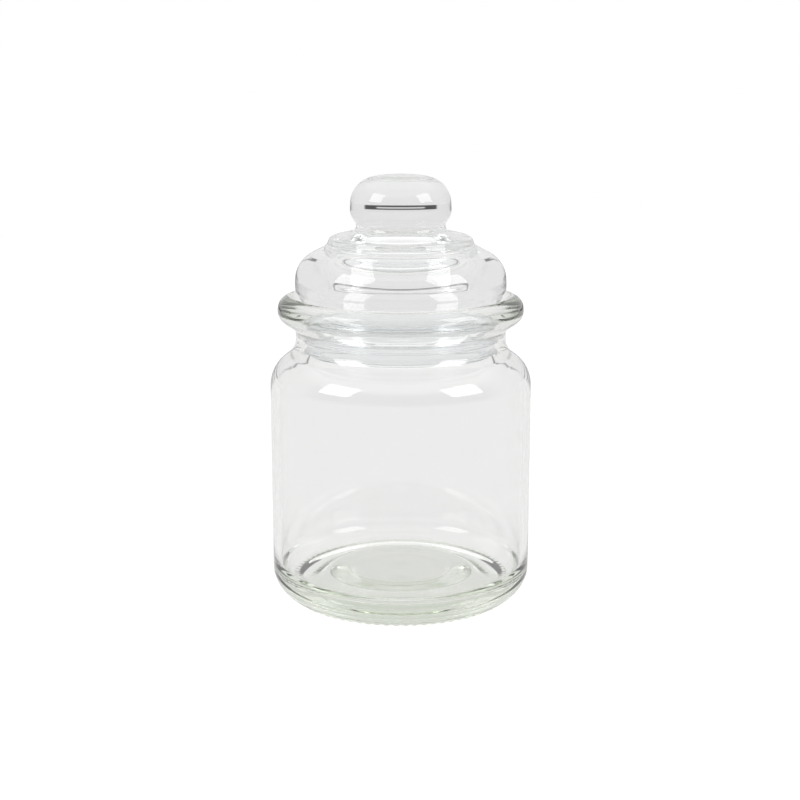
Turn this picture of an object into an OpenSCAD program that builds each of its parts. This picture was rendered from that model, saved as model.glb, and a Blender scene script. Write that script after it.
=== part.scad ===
// Apothecary jar: a glass jar with a drop-in glass lid that seals on a soft plastic ring.
// Every piece is turned about the Z axis. Z = 0 is the surface that the jar stands on.
// An outline is a list of corners [radius, height, fillet radius]; rounded() adds the fillets.

/* [Jar] */
// Outside diameter of the body
body_d = 100; // [96:0.5:104]
// Outside diameter of the neck
neck_d = 80.2; // [79.6:0.2:82]
// Outside diameter of the rim
rim_d = 93.8; // [92:0.2:96]
// Diameter of the bore that the lid drops into
mouth_d = 74.2; // [73.8:0.1:74.6]
// Height of the corner between the body's wall and its shoulder
shoulder_z = 90; // [86:0.5:92]
// Height of the corner between the shoulder and the neck
neck_z = 97.3; // [96:0.1:98.4]
// Height of the rim's top
rim_z = 117.5; // [117.3:0.1:117.6]
// Thickness of the body's wall
wall = 3.1; // [2.6:0.1:3.6]
// Height of the inside floor at its middle
floor_z = 12; // [11:0.5:14]
// Depth of the rim, from its top to the corner under it
rim_depth = 7.9; // [7:0.1:8.5]

/* [Base] */
// Height of the corner between the base and the body's wall
heel_z = 5.1; // [4:0.1:6]
// Height of the push-up under the base
punt_z = 4.2; // [3.2:0.2:4.6]
// Diameter at which the push-up is highest
punt_d = 54.6; // [50:0.2:56]
// Height of the pad in the middle of the push-up
pad_z = 1.8; // [1.4:0.1:2.4]
// Diameter of that pad
pad_d = 39.2; // [36:0.2:42]
// Number of ridges that the jar stands on
ridge_count = 76; // [60:2:84]
// Length of a ridge
ridge_length = 3.4; // [2.8:0.1:3.6]
// Width of a ridge
ridge_width = 1.5; // [1:0.1:1.8]
// Height of a ridge
ridge_height = 0.35; // [0.2:0.05:0.45]

/* [Lid] */
// Diameter of the plug that carries the sealing ring
plug_d = 69.2; // [68.8:0.2:69.6]
// Height of the plug's lower end
plug_z = 94.4; // [93:0.2:95]
// Diameter of the dome
dome_d = 80.4; // [79.6:0.2:81.2]
// Diameter of the collar under the knob
collar_d = 55; // [53:0.2:56]
// Diameter of the knob
knob_d = 38.2; // [36:0.2:39]
// Height of the knob's top
top_z = 163.1; // [162.6:0.1:164]
// Height of the hollow's ceiling
hollow_z = 133.1; // [130:0.2:133.4]
// Height of the corner under the knob
knob_z = 147.3; // [146:0.1:148]
// Height of the knob's foot
foot_z = 142; // [141:0.1:142.4]
// Height of the collar's top
collar_z = 139.9; // [139:0.1:140.5]
// Depth of the collar
collar_depth = 3.1; // [2.6:0.1:3.6]
// Height of the corner between the dome's top and its side
dome_z = 130.3; // [129:0.1:131]
// Height of the seat on which the lid rests
seat_z = 113.4; // [113.2:0.1:113.6]

/* [Seal] */
// Number of sealing lips
lip_count = 3; // [2:1:3]
// Distance from one lip to the next
lip_pitch = 4.8; // [4.4:0.1:5]
// Height of a lip at its root
lip_height = 1.6; // [1.2:0.1:2]
// Thickness of the ring between its lips
band = 1.1; // [0.9:0.1:1.3]
// Radial clearance of the ring on the plug and in the mouth
fit_gap = 0.05; // [0.03:0.01:0.1]

/* [Hidden] */
$fn = 128;
arc_step = 6;
ridge_embed = 0.6;
ridge_r = 39.8;
stand_r = ridge_r + 2.6;
bead = 0.5;
bead_z = plug_z + 0.7;
seat_clear = 0.7;
seal_z = plug_z + 1;
seal_top_z = seat_z - 1.1;

// Distance from corner b to where its fillet starts, for a fillet of radius r
function reach(a, b, c, r) = r / tan(corner(a, b, c) / 2);
// Angle at corner b between the sides to a and to c
function corner(a, b, c) = acos(unit(a - b) * unit(c - b));
function unit(v) = v / norm(v);
function flat(p) = [p[0], p[1]];

// The points of the fillet at corner b
function fillet(a, b, c, r) =
    let (u = unit(a - b), v = unit(c - b), half = corner(a, b, c) / 2)
    let (centre = b + unit(u + v) * r / sin(half))
    let (first = b + u * reach(a, b, c, r) - centre)
    let (turn = (180 - 2 * half) * sign(cross(b - a, c - b)))
    let (steps = ceil(abs(turn) / arc_step))
    [for (i = [0:steps]) centre + rotated(first, turn * i / steps)];
function rotated(p, a) = [p[0] * cos(a) - p[1] * sin(a), p[0] * sin(a) + p[1] * cos(a)];

// An outline's corners with their fillets; the two ends stay sharp
function rounded(p) = [
    flat(p[0]),
    for (i = [1:len(p) - 2])
        for (q = p[i][2] > 0 ? fillet(flat(p[i - 1]), flat(p[i]), flat(p[i + 1]), p[i][2]) : [flat(p[i])]) q,
    flat(p[len(p) - 1])
];

module turned(outline) {
    rotate_extrude() polygon(rounded(outline));
}

// The ring of small radial bars that the jar stands on
module ridges() {
    for (i = [0:ridge_count - 1])
        rotate((i + 0.5) * 360 / ridge_count)
            translate([ridge_r, -ridge_width / 2, 0])
                cube([ridge_length, ridge_width, ridge_height + ridge_embed]);
}

module jar() {
    body_r = body_d / 2;
    neck_r = neck_d / 2;
    rim_r = rim_d / 2;
    mouth_r = mouth_d / 2;
    inner_r = body_r - wall;
    rim_bead = (rim_r - mouth_r) / 2 - 0.05;
    floor_r = inner_r - 20.9;
    color("#dbe8e0", 0.4) {
        turned([
            [0, pad_z],
            [pad_d / 2, pad_z, 2],
            [punt_d / 2, punt_z, 1.2],
            [ridge_r - 1.2, ridge_height + 0.4, 1.5],
            [ridge_r, ridge_height, 1.5],
            [stand_r, ridge_height, 1.5],
            [body_r, heel_z, 12],
            [body_r, shoulder_z, 12.8],
            [neck_r, neck_z, 7.2],
            [neck_r, rim_z - rim_depth - 4.9, 2],
            [rim_r, rim_z - rim_depth, 3.9],
            [rim_r, rim_z, rim_bead],
            [mouth_r, rim_z, rim_bead],
            [mouth_r, neck_z - 1.5, 8],
            [inner_r, shoulder_z - 1.3, 9.5],
            [inner_r, heel_z + wall, 6.5],
            [floor_r, floor_z - 0.6, 30],
            [0, floor_z]
        ]);
        ridges();
    }
}

module lid() {
    plug_r = plug_d / 2;
    dome_r = dome_d / 2;
    collar_r = collar_d / 2;
    knob_r = knob_d / 2;
    crown_r = knob_r - 12.1;
    foot_r = knob_r - 5.1;
    seat_r = mouth_d / 2 - seat_clear;
    hollow_r = plug_r - 3.6;
    ceiling_r = hollow_r - 7;
    color("#e6eceb", 0.4)
        turned([
            [0, top_z],
            [crown_r, top_z - 0.3, 12],
            [knob_r, top_z - 2.3, 10.5],
            [knob_r, knob_z, 5],
            [foot_r, foot_z, 2.6],
            [collar_r, collar_z, 2.2],
            [collar_r, collar_z - collar_depth, 2],
            [dome_r, dome_z, 11.5],
            [dome_r, seat_z + 6.2, 3.5],
            [seat_r, seat_z, 0.8],
            [plug_r, seat_z - 0.4, 0.6],
            [plug_r, bead_z + 0.7, 0.5],
            [plug_r + bead, bead_z, 0.3],
            [plug_r - 0.4, plug_z, 0.6],
            [hollow_r + 0.6, plug_z, 1],
            [hollow_r, seat_z - 1.4, 4],
            [hollow_r + 0.4, dome_z - 9.3, 6],
            [ceiling_r, hollow_z - 0.5, 7],
            [0, hollow_z]
        ]);
}

// One sealing lip: a thin blade that leans up from the ring
function lip(z) = [
    [plug_d / 2 + fit_gap + band, z, 0.2],
    [mouth_d / 2 - fit_gap, z + 0.7, 0.2],
    [mouth_d / 2 - fit_gap, z + 1.2, 0.2],
    [plug_d / 2 + fit_gap + band, z + lip_height, 0.3]
];

module seal_ring() {
    inside_r = plug_d / 2 + fit_gap;
    outside_r = inside_r + band;
    color("#e9f0f5", 0.7)
        turned(concat(
            [[inside_r, seal_z + 2, 0], [inside_r, seal_z + 1.2, 0.2], [inside_r + 0.6, seal_z, 0.3]],
            [for (i = [0:lip_count - 1]) for (q = lip(seal_z + 0.6 + i * lip_pitch)) q],
            [[outside_r, seal_top_z, 0.4], [inside_r, seal_top_z, 0.2], [inside_r, seal_z + 2, 0]]
        ));
}

jar();
lid();
seal_ring();
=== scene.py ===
"""Looks for the apothecary jar: a moulded jar, a pressed lid and a soft sealing ring.

Every piece is turned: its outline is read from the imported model, evened out, and spun about the Z axis by
one Geometry Nodes tree, which also ripples the glass and presses the row of ridges under the base.
"""

import math

import bmesh
import bpy
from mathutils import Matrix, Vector


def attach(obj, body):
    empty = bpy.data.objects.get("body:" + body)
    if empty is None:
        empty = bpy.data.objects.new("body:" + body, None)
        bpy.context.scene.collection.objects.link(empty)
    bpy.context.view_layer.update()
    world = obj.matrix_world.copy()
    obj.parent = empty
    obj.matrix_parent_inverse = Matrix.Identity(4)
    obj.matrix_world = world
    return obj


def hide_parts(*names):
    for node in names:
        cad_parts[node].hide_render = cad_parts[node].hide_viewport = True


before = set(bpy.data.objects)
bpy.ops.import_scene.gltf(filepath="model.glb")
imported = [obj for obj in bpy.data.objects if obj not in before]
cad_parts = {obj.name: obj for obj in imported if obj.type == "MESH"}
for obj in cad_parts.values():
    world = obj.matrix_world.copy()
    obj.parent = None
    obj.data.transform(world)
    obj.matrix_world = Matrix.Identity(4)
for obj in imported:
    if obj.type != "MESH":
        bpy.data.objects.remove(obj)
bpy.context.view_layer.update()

MM = 0.001                # every length below is in metres

# ---- turning
AROUND = 304              # segments round a piece: four to a ridge
WELD = 0.002 * MM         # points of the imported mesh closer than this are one
SAMPLE = 0.3 * MM         # spacing of an outline while it is evened out
PASSES = 18               # how often it is evened out
FINE_SAMPLE = 0.15 * MM   # the same two for the thin sealing ring
FINE_PASSES = 3
LONGEST = 3 * MM          # longest step of a finished outline
BEND = math.radians(3.2)  # sharpest bend of a finished outline

# ---- ridges under the base
RIDGES = 76
RIDGE_START = 39.8 * MM
RIDGE_END = 43.2 * MM
RIDGE_HEIGHT = 0.35 * MM
RIDGE_SOFT = 0.8 * MM     # length over which a ridge's ends rise
RIDGE_REACH = 1.5 * MM    # only what is below this height carries ridges

# ---- glass, whose tint deepens with thickness, and the ring's plastic
GLASS_IOR = 1.52
JAR_TINT = (0.866, 0.893, 0.832)
JAR_DENSITY = 20.0
JAR_STREAK = 0.005 * MM
LID_TINT = (0.90, 0.915, 0.905)
LID_DENSITY = 12.0
LID_STREAK = 0.004 * MM
GLASS_HAZE = 0.03         # roughness of a handled patch
PLASTIC_IOR = 1.38
PLASTIC_BLUE = (0.955, 0.965, 0.982, 1)
PLASTIC_PALE = (0.975, 0.982, 0.992, 1)
PLASTIC_CLEAN = 0.06      # roughness of its clean and its handled patches
PLASTIC_HAZE = 0.16

# ---- camera
CAMERA_DISTANCE = 587.8 * MM
CAMERA_HEIGHT = 201.4 * MM
CAMERA_PITCH = math.radians(11.99)
LENS = 70.06              # focal length in millimetres on a 36 mm sensor
SIDE_SHIFT = -0.0009

# ---- table
TABLE_RADIUS = 1.4
TABLE_COLOUR = (0.9, 0.9, 0.9, 1)
TABLE_GLOW = 0.25         # keeps the table white to the camera, but not through the glass
# painted shade under the jar, put into the table's colour since the glass casts no shadow
PAINTED_SHADE_COLOUR = (0.72, 0.73, 0.69, 1)
SHADE_FULL = 40 * MM      # painted shade: the table's colour under the jar's base, from full to none
SHADE_END = 45 * MM

# ---- room: how bright it is in front, behind and overhead
FRONT_LIGHT = 0.24
BACK_LIGHT = 0.80
TOP_LIGHT = 1.22
FRONT_ENDS = -0.35        # y parts of a direction between which front turns into back
BACK_STARTS = 0.25
TOP_STARTS = 0.45         # z parts of a direction between which wall turns into ceiling
TOP_FULL = 0.8

# ---- dark gap between the table and the wall behind, by the z and x parts of a direction
GAP_HEIGHT = -0.068
GAP_HALF = 0.043
GAP_SIDE = 0.58
GAP_SOFT = 0.014          # how gently its edges fade
GAP_DARK = 0.9
LEDGE_HALF = 0.018        # the pale ledge along its middle
LEDGE_SIDE = 0.36

# ---- softboxes
SOFTBOX_LIGHT = 4.0
SOFTBOX_SIZE = 0.68
SOFTBOX_AZIMUTH = 62
SOFTBOX_ELEVATION = 32
SOFTBOX_DISTANCE = 1.3
SOFTBOX_AIM = 90 * MM


# ================================================================ node trees

def put(tree, kind, sockets=(), **settings):
    """A new node. sockets maps an input's name or number to a value, or to the output that feeds it."""
    node = tree.nodes.new(kind)
    for name, value in settings.items():
        setattr(node, name, value)
    for key, value in dict(sockets).items():
        if isinstance(value, bpy.types.NodeSocket):
            tree.links.new(value, node.inputs[key])
        else:
            node.inputs[key].default_value = value
    return node


def math_of(tree, operation, *values):
    """The result of one Math node."""
    return put(tree, "ShaderNodeMath", enumerate(values), operation=operation).outputs[0]


def fading(tree, value, start, end):
    """1 below start, falling smoothly to 0 at end."""
    return put(tree, "ShaderNodeMapRange", {"Value": value, "From Min": start, "From Max": end,
               "To Min": 1.0, "To Max": 0.0}, interpolation_type="SMOOTHSTEP").outputs[0]


def vector_of(tree, operation, *values):
    """The vector that one Vector Math node gives."""
    return put(tree, "ShaderNodeVectorMath", enumerate(values), operation=operation).outputs["Vector"]


def group_with(kind, name, inputs, outputs):
    """An empty node group with named sockets, its input node's outputs and its output node."""
    tree = bpy.data.node_groups.new(name, kind)
    for label, socket, value in inputs:
        made = tree.interface.new_socket(label, in_out="INPUT", socket_type=socket)
        if value is not None:
            made.default_value = value
    for label, socket in outputs:
        tree.interface.new_socket(label, in_out="OUTPUT", socket_type=socket)
    given = tree.nodes.new("NodeGroupInput").outputs
    result = tree.nodes.new("NodeGroupOutput")
    return tree, given, result


# ================================================================ outlines

def section(node):
    """The outline of a turned node in the half plane y = 0, x > 0: its (radius, height) points in order."""
    cut = bmesh.new()
    cut.from_mesh(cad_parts[node].data)
    bmesh.ops.remove_doubles(cut, verts=cut.verts, dist=WELD)
    whole = cut.verts[:] + cut.edges[:] + cut.faces[:]
    found = bmesh.ops.bisect_plane(cut, geom=whole, dist=WELD, plane_co=(0, 0, 0), plane_no=(0, 1, 0))
    links, place = {}, {}
    for edge in found["geom_cut"]:
        if isinstance(edge, bmesh.types.BMEdge) and edge.verts[0].co.x + edge.verts[1].co.x > 0:
            a, b = edge.verts
            links.setdefault(a, []).append(b)
            links.setdefault(b, []).append(a)
    for vert in links:
        place[vert] = Vector((max(0.0, vert.co.x), 0, vert.co.z))
    ends = sorted((v for v in links if len(links[v]) == 1), key=lambda v: place[v].z)
    walk = [ends[0] if ends else min(links, key=lambda v: place[v].z)]
    while True:
        onward = [v for v in links[walk[-1]] if v not in walk[-2:] and v is not walk[0]]
        if not onward:
            break
        walk.append(onward[0])
    points = [place[v] for v in walk]
    cut.free()
    return points if ends else points + points[:1]


def evened(points, spacing, passes):
    """The outline at an even spacing, with its small corners rounded by that many passes."""
    steps = [(b - a).length for a, b in zip(points, points[1:])]
    count = round(sum(steps) / spacing)
    even, leg, gone = [points[0]], 0, 0.0
    for k in range(1, count):
        along = sum(steps) * k / count
        while gone + steps[leg] < along:
            gone += steps[leg]
            leg += 1
        even.append(points[leg].lerp(points[leg + 1], (along - gone) / steps[leg]))
    even.append(points[-1])
    closed = (points[0] - points[-1]).length < WELD
    for _ in range(passes):
        inner = [(a + 2 * b + c) / 4 for a, b, c in zip(even, even[1:], even[2:])]
        first = (even[-2] + 2 * even[0] + even[1]) / 4 if closed else even[0]
        last = first if closed else even[-1]
        even = [first] + inner + [last]
    return even


def thinned(points):
    """Only as many of the points as the outline's bends need."""
    kept, turned, run = [points[0]], 0.0, 0.0
    for a, b, c in zip(points, points[1:], points[2:]):
        turned += (b - a).angle(c - b, 0.0)
        run += (b - a).length
        if turned > BEND or run > LONGEST:
            kept.append(b)
            turned, run = 0.0, 0.0
    return kept + [points[-1]]


def wound(points):
    """The outline in the order that makes its spun faces point outwards."""
    area = sum(a.x * b.z - b.x * a.z for a, b in zip(points, points[1:] + points[:1]))
    return points if area > 0 else points[::-1]


# ================================================================ Geometry Nodes: the turned body

def turning_tree():
    """Spins an outline about the Z axis, presses the ridges under it and ripples its surface inwards."""
    inputs = [
        ("Outline", "NodeSocketGeometry", None),
        ("Around", "NodeSocketInt", AROUND),
        ("Ridges", "NodeSocketInt", 0),
        ("Ridge Start", "NodeSocketFloat", 0.0),
        ("Ridge End", "NodeSocketFloat", 0.0),
        ("Ridge Height", "NodeSocketFloat", 0.0),
        ("Ripple Depth", "NodeSocketFloat", 0.0),
        ("Ripple Scale", "NodeSocketFloat", 50.0),
        ("Ripple Seed", "NodeSocketFloat", 0.0),
        ("Material", "NodeSocketMaterial", None),
    ]
    tree, given, result = group_with("GeometryNodeTree", "turned_body", inputs,
                                     [("Geometry", "NodeSocketGeometry")])

    rows = put(tree, "GeometryNodeAttributeDomainSize", {"Geometry": given["Outline"]}).outputs["Point Count"]
    columns = math_of(tree, "ADD", given["Around"], 1.0)
    grid = put(tree, "GeometryNodeMeshGrid", {"Vertices X": columns, "Vertices Y": rows})
    index = put(tree, "GeometryNodeInputIndex").outputs[0]
    row = math_of(tree, "MODULO", index, rows)
    column = math_of(tree, "FLOOR", math_of(tree, "DIVIDE", math_of(tree, "ADD", index, 0.5), rows))
    angle = math_of(tree, "DIVIDE", math_of(tree, "MULTIPLY", column, math.tau), given["Around"])
    position = put(tree, "GeometryNodeInputPosition").outputs[0]
    point = put(tree, "GeometryNodeSampleIndex",
                {"Geometry": given["Outline"], "Value": position, "Index": row},
                data_type="FLOAT_VECTOR", domain="POINT").outputs["Value"]
    spun = put(tree, "ShaderNodeVectorRotate", {"Vector": point, "Angle": angle}, rotation_type="Z_AXIS")
    body = put(tree, "GeometryNodeSetPosition",
               {"Geometry": grid.outputs["Mesh"], "Position": spun.outputs[0]})
    body = put(tree, "GeometryNodeMergeByDistance", {"Geometry": body.outputs[0], "Distance": WELD / 2})

    # ridges: rounded bars across a ring of the underside
    normal = put(tree, "GeometryNodeInputNormal").outputs[0]
    place = put(tree, "ShaderNodeSeparateXYZ", {0: position}).outputs
    facing = put(tree, "ShaderNodeSeparateXYZ", {0: normal}).outputs
    radius = math_of(tree, "SQRT", math_of(tree, "ADD", math_of(tree, "POWER", place["X"], 2.0),
                                           math_of(tree, "POWER", place["Y"], 2.0)))
    turn = math_of(tree, "MULTIPLY", math_of(tree, "ARCTAN2", place["Y"], place["X"]), given["Ridges"])
    wave = math_of(tree, "MULTIPLY_ADD", math_of(tree, "COSINE", turn), -0.5, 0.5)
    risen = math_of(tree, "ADD", given["Ridge Start"], RIDGE_SOFT)
    sinks = math_of(tree, "SUBTRACT", given["Ridge End"], RIDGE_SOFT)
    begin = put(tree, "ShaderNodeMapRange", {"Value": radius, "From Min": given["Ridge Start"],
                "From Max": risen}, interpolation_type="SMOOTHSTEP")
    end = put(tree, "ShaderNodeMapRange", {"Value": radius, "From Min": sinks,
              "From Max": given["Ridge End"]}, interpolation_type="SMOOTHSTEP")
    band = math_of(tree, "SUBTRACT", begin.outputs[0], end.outputs[0])
    low = math_of(tree, "LESS_THAN", place["Z"], RIDGE_REACH)
    under = math_of(tree, "MULTIPLY", low, math_of(tree, "LESS_THAN", facing["Z"], -0.5))
    drop = math_of(tree, "MULTIPLY", math_of(tree, "MULTIPLY", wave, band), under)
    drop = math_of(tree, "MULTIPLY", drop, math_of(tree, "MULTIPLY", given["Ridge Height"], -1.0))
    down = put(tree, "ShaderNodeCombineXYZ", {"Z": drop}).outputs[0]
    body = put(tree, "GeometryNodeSetPosition", {"Geometry": body.outputs[0], "Offset": down})

    # ripple: long waves, drawn out upwards, that differ on the two sides of a wall
    stretched = vector_of(tree, "MULTIPLY", position, (1.0, 1.0, 0.4))
    apart = vector_of(tree, "ADD", stretched, vector_of(tree, "MULTIPLY", normal, (0.02, 0.02, 0.02)))
    noise = put(tree, "ShaderNodeTexNoise", {"Vector": apart, "W": given["Ripple Seed"],
                "Scale": given["Ripple Scale"], "Detail": 1.0}, noise_dimensions="4D").outputs[0]
    depth = math_of(tree, "MULTIPLY", noise, math_of(tree, "MULTIPLY", given["Ripple Depth"], -1.0))
    inward = put(tree, "ShaderNodeVectorMath", {0: normal, "Scale": depth}, operation="SCALE").outputs[0]
    body = put(tree, "GeometryNodeSetPosition", {"Geometry": body.outputs[0], "Offset": inward})

    body = put(tree, "GeometryNodeSetShadeSmooth", {"Geometry": body.outputs[0]})
    body = put(tree, "GeometryNodeRealizeInstances", {"Geometry": body.outputs[0]})
    body = put(tree, "GeometryNodeSetMaterial", {"Geometry": body.outputs[0], "Material": given["Material"]})
    tree.links.new(body.outputs[0], result.inputs["Geometry"])
    return tree


def turned(name, node, tree, material, spacing=SAMPLE, passes=PASSES, **sizes):
    """The finished piece that stands for a CAD node, spun from that node's own outline.

    It casts no shadow, since light falls through it on to the table.
    """
    outline = wound(thinned(evened(section(node), spacing, passes)))
    line = bpy.data.meshes.new(name + "_outline")
    line.from_pydata(outline, [], [])
    draft = bpy.data.objects.new(name + "_draft", line)
    bpy.context.scene.collection.objects.link(draft)
    spin = draft.modifiers.new("turn", "NODES")
    spin.node_group = tree
    sockets = {item.name: item.identifier for item in tree.interface.items_tree if item.in_out == "INPUT"}
    for label, value in {"Material": material, **sizes}.items():
        spin[sockets[label.replace("_", " ")]] = value
    bpy.context.view_layer.update()
    ready = draft.evaluated_get(bpy.context.evaluated_depsgraph_get())
    mesh = bpy.data.meshes.new_from_object(ready)
    mesh.name = name
    bpy.data.objects.remove(draft)
    piece = bpy.data.objects.new(name, mesh)
    bpy.context.scene.collection.objects.link(piece)
    piece.visible_shadow = False
    piece.visible_diffuse = False     # so that the table doesn't darken round it either
    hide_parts(node)
    return piece


# ================================================================ finishes

def flow_group():
    """Height of a moulded glass face: faint streaks drawn upwards and a finer orange peel."""
    tree, given, result = group_with(
        "ShaderNodeTree", "glass_flow",
        [("Streak Scale", "NodeSocketFloat", 120.0), ("Peel Scale", "NodeSocketFloat", 700.0),
         ("Peel Share", "NodeSocketFloat", 0.15)],
        [("Height", "NodeSocketFloat")])
    place = put(tree, "ShaderNodeTexCoord").outputs["Object"]
    drawn = put(tree, "ShaderNodeMapping", {"Vector": place, "Scale": (1.0, 1.0, 0.12)}).outputs[0]
    streak = put(tree, "ShaderNodeTexNoise", {"Vector": drawn, "Scale": given["Streak Scale"],
                                              "Detail": 2.0}).outputs[0]
    peel = put(tree, "ShaderNodeTexNoise", {"Vector": place, "Scale": given["Peel Scale"],
                                            "Detail": 1.0}).outputs[0]
    both = math_of(tree, "MULTIPLY_ADD", peel, given["Peel Share"], streak)
    tree.links.new(both, result.inputs["Height"])
    return tree


def smudge_group():
    """Roughness of a handled face: clean for the most part, hazier in a few soft patches."""
    tree, given, result = group_with(
        "ShaderNodeTree", "handling_marks",
        [("Clean", "NodeSocketFloat", 0.0), ("Hazy", "NodeSocketFloat", 0.05),
         ("Patch Scale", "NodeSocketFloat", 35.0)],
        [("Roughness", "NodeSocketFloat")])
    place = put(tree, "ShaderNodeTexCoord").outputs["Object"]
    patch = put(tree, "ShaderNodeTexNoise", {"Vector": place, "Scale": given["Patch Scale"],
                                             "Detail": 4.0}).outputs[0]
    amount = put(tree, "ShaderNodeMapRange", {"Value": patch, "From Min": 0.52, "From Max": 0.78,
                 "To Min": given["Clean"], "To Max": given["Hazy"]}, interpolation_type="SMOOTHSTEP")
    tree.links.new(amount.outputs[0], result.inputs["Roughness"])
    return tree


def glass(name, flow, smudges, tint, density, streak, hazy):
    """Clear glass: a tint that deepens with thickness, faint streaks and a few hazy patches."""
    material = bpy.data.materials.new(name)
    material.use_nodes = True
    tree = material.node_tree
    shader = tree.nodes["Principled BSDF"]
    shader.inputs["Base Color"].default_value = (1, 1, 1, 1)
    shader.inputs["Transmission Weight"].default_value = 1
    shader.inputs["IOR"].default_value = GLASS_IOR
    height = put(tree, "ShaderNodeGroup", {}, node_tree=flow).outputs["Height"]
    bump = put(tree, "ShaderNodeBump", {"Height": height, "Strength": 1.0, "Distance": streak})
    rough = put(tree, "ShaderNodeGroup", {}, node_tree=smudges)
    rough.inputs["Hazy"].default_value = hazy
    tree.links.new(bump.outputs[0], shader.inputs["Normal"])
    tree.links.new(rough.outputs["Roughness"], shader.inputs["Roughness"])
    depth = put(tree, "ShaderNodeVolumeAbsorption", {"Color": (*tint, 1), "Density": density})
    tree.links.new(depth.outputs[0], tree.nodes["Material Output"].inputs["Volume"])
    return material


def soft_plastic(name, smudges):
    """Milky, slightly blue soft plastic that light passes through."""
    material = bpy.data.materials.new(name)
    material.use_nodes = True
    tree = material.node_tree
    shader = tree.nodes["Principled BSDF"]
    shader.inputs["Transmission Weight"].default_value = 1
    shader.inputs["IOR"].default_value = PLASTIC_IOR
    place = put(tree, "ShaderNodeTexCoord").outputs["Object"]
    cloud = put(tree, "ShaderNodeTexNoise", {"Vector": place, "Scale": 90.0, "Detail": 3.0}).outputs[0]
    colour = put(tree, "ShaderNodeMix", {"Factor": cloud, "A": PLASTIC_BLUE, "B": PLASTIC_PALE},
                 data_type="RGBA")
    rough = put(tree, "ShaderNodeGroup", {}, node_tree=smudges)
    rough.inputs["Clean"].default_value = PLASTIC_CLEAN
    rough.inputs["Hazy"].default_value = PLASTIC_HAZE
    tree.links.new(colour.outputs["Result"], shader.inputs["Base Color"])
    tree.links.new(rough.outputs["Roughness"], shader.inputs["Roughness"])
    return material


# ================================================================ the three pieces

spinner = turning_tree()
flow, smudges = flow_group(), smudge_group()

jar = turned("moulded_jar", "jar", spinner,
             glass("jar_glass", flow, smudges, JAR_TINT, JAR_DENSITY, JAR_STREAK, GLASS_HAZE),
             Ridges=RIDGES, Ridge_Start=RIDGE_START, Ridge_End=RIDGE_END, Ridge_Height=RIDGE_HEIGHT,
             Ripple_Depth=0.03 * MM, Ripple_Scale=25.0, Ripple_Seed=3.0)
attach(jar, "jar")

lid = turned("pressed_lid", "lid", spinner,
             glass("lid_glass", flow, smudges, LID_TINT, LID_DENSITY, LID_STREAK, GLASS_HAZE),
             Ripple_Depth=0.03 * MM, Ripple_Scale=40.0, Ripple_Seed=8.0)
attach(lid, "lid")

ring = turned("sealing_ring", "seal_ring", spinner, soft_plastic("milky_plastic", smudges),
              spacing=FINE_SAMPLE, passes=FINE_PASSES)
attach(ring, "seal")


# ================================================================ floor, light and camera

def pale_floor():
    """A round pale table top, which ends some way behind the jar and has a faint painted shade in its colour
    under it.
    """
    disc = bmesh.new()
    bmesh.ops.create_circle(disc, cap_ends=True, segments=128, radius=TABLE_RADIUS)
    mesh = bpy.data.meshes.new("floor")
    disc.to_mesh(mesh)
    disc.free()
    floor = bpy.data.objects.new("floor", mesh)
    bpy.context.scene.collection.objects.link(floor)
    material = bpy.data.materials.new("pale_floor")
    material.use_nodes = True
    tree = material.node_tree
    shader = tree.nodes["Principled BSDF"]
    seen = put(tree, "ShaderNodeLightPath").outputs["Is Camera Ray"]
    tree.links.new(math_of(tree, "MULTIPLY", seen, TABLE_GLOW), shader.inputs["Emission Strength"])
    shader.inputs["Emission Color"].default_value = (1, 1, 1, 1)
    place = put(tree, "ShaderNodeTexCoord").outputs["Object"]
    out = put(tree, "ShaderNodeVectorMath", {0: place}, operation="LENGTH").outputs["Value"]
    # painted shade: the table's colour darkens under the jar's base
    shade = put(tree, "ShaderNodeMapRange", {"Value": out, "From Min": SHADE_FULL, "From Max": SHADE_END},
                interpolation_type="SMOOTHSTEP").outputs[0]
    colour = put(tree, "ShaderNodeMix", {"Factor": shade, "A": PAINTED_SHADE_COLOUR, "B": TABLE_COLOUR},
                 data_type="RGBA").outputs["Result"]
    tree.links.new(colour, shader.inputs["Base Color"])
    shader.inputs["Roughness"].default_value = 0.9
    mesh.materials.append(material)


def softbox(name, azimuth, glassware):
    """A square soft light, aimed at the jar and lighting only it. Azimuth 0 is in front, 90 to the right."""
    light = bpy.data.lights.new(name, "AREA")
    light.shape = "SQUARE"
    light.size = SOFTBOX_SIZE
    light.energy = SOFTBOX_LIGHT * math.pi * SOFTBOX_SIZE ** 2
    lamp = bpy.data.objects.new(name, light)
    bpy.context.scene.collection.objects.link(lamp)
    side, up = math.radians(azimuth), math.radians(SOFTBOX_ELEVATION)
    aim = Vector((0, 0, SOFTBOX_AIM))
    away = Vector((math.sin(side) * math.cos(up), -math.cos(side) * math.cos(up), math.sin(up)))
    lamp.location = aim + SOFTBOX_DISTANCE * away
    lamp.rotation_euler = (-away).to_track_quat("-Z", "Y").to_euler()
    lamp.light_linking.receiver_collection = glassware


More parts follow.
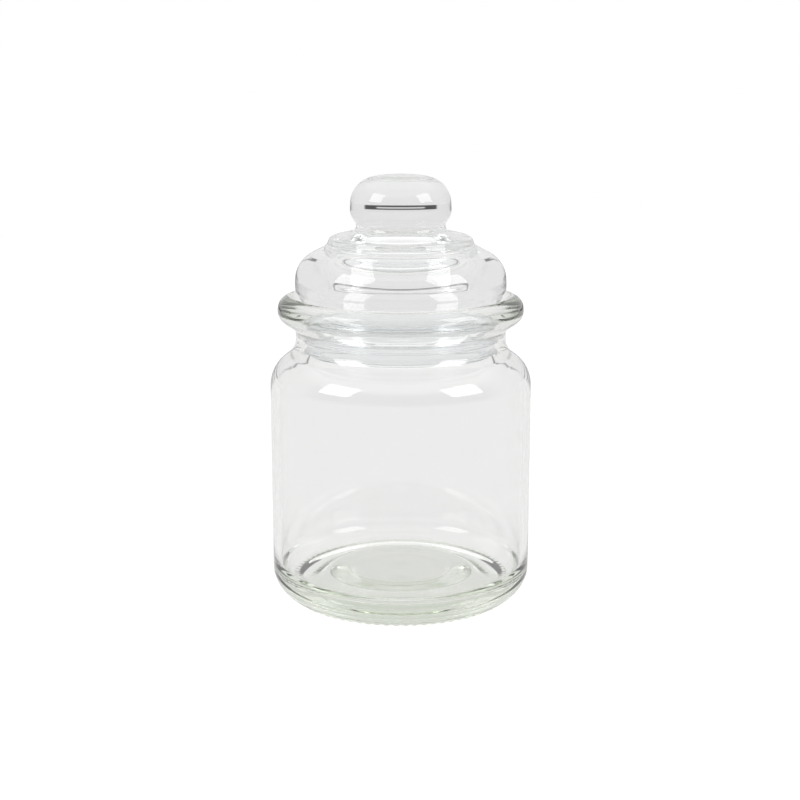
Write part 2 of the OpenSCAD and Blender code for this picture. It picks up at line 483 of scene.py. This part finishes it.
def studio():
    """A room that is pale behind the jar, bright overhead, dim in front and dark past the table's edge.

    The camera itself sees it plain white.
    """
    world = bpy.data.worlds.new("studio")
    bpy.context.scene.world = world
    world.use_nodes = True
    tree = world.node_tree
    background = tree.nodes["Background"]
    direction = put(tree, "ShaderNodeTexCoord").outputs["Generated"]
    toward = put(tree, "ShaderNodeSeparateXYZ", {0: direction}).outputs
    wall = put(tree, "ShaderNodeMapRange", {"Value": toward["Y"], "From Min": FRONT_ENDS,
               "From Max": BACK_STARTS, "To Min": FRONT_LIGHT, "To Max": BACK_LIGHT},
               interpolation_type="SMOOTHSTEP").outputs[0]
    high = put(tree, "ShaderNodeMapRange", {"Value": toward["Z"], "From Min": TOP_STARTS,
               "From Max": TOP_FULL}, interpolation_type="SMOOTHSTEP").outputs[0]
    sky = put(tree, "ShaderNodeMix", {"Factor": high, "A": wall, "B": TOP_LIGHT}).outputs["Result"]
    aside = math_of(tree, "ABSOLUTE", toward["X"])
    off = math_of(tree, "ABSOLUTE", math_of(tree, "SUBTRACT", toward["Z"], GAP_HEIGHT))
    gap = math_of(tree, "MULTIPLY", fading(tree, off, GAP_HALF - GAP_SOFT, GAP_HALF),
                 fading(tree, aside, GAP_SIDE - 4 * GAP_SOFT, GAP_SIDE))
    ledge = math_of(tree, "MULTIPLY", fading(tree, off, 0.0, LEDGE_HALF),
                   fading(tree, aside, LEDGE_SIDE - 4 * GAP_SOFT, LEDGE_SIDE))
    dark = math_of(tree, "MULTIPLY", math_of(tree, "SUBTRACT", gap, ledge),
                  math_of(tree, "GREATER_THAN", toward["Y"], 0.0))
    open_share = math_of(tree, "MULTIPLY_ADD", dark, -GAP_DARK, 1.0)
    room = math_of(tree, "MULTIPLY", sky, open_share)
    seen = put(tree, "ShaderNodeLightPath").outputs["Is Camera Ray"]
    shade = put(tree, "ShaderNodeMix", {"Factor": seen, "A": room, "B": 1.0}).outputs["Result"]
    tree.links.new(shade, background.inputs["Color"])
    glassware = bpy.data.collections.new("glassware")
    for piece in (jar, lid, ring):
        glassware.objects.link(piece)
    softbox("softbox_left", -SOFTBOX_AZIMUTH, glassware)
    softbox("softbox_right", SOFTBOX_AZIMUTH, glassware)


def camera():
    """The camera, in front of the jar and looking slightly down on it."""
    data = bpy.data.cameras.new("camera")
    data.sensor_width = 36
    data.lens = LENS
    data.shift_x = SIDE_SHIFT
    made = bpy.data.objects.new("camera", data)
    made.location = (0, -CAMERA_DISTANCE, CAMERA_HEIGHT)
    made.rotation_euler = (math.pi / 2 - CAMERA_PITCH, 0, 0)
    bpy.context.scene.collection.objects.link(made)
    bpy.context.scene.camera = made


pale_floor()
studio()
camera()
bpy.context.scene.view_settings.view_transform = "Standard"
# light crosses many faces of glass on its way through both walls, the lid and the ring
bpy.context.scene.cycles.max_bounces = 32
bpy.context.scene.cycles.transmission_bounces = 32
bpy.context.scene.cycles.glossy_bounces = 16

bpy.context.view_layer.update()
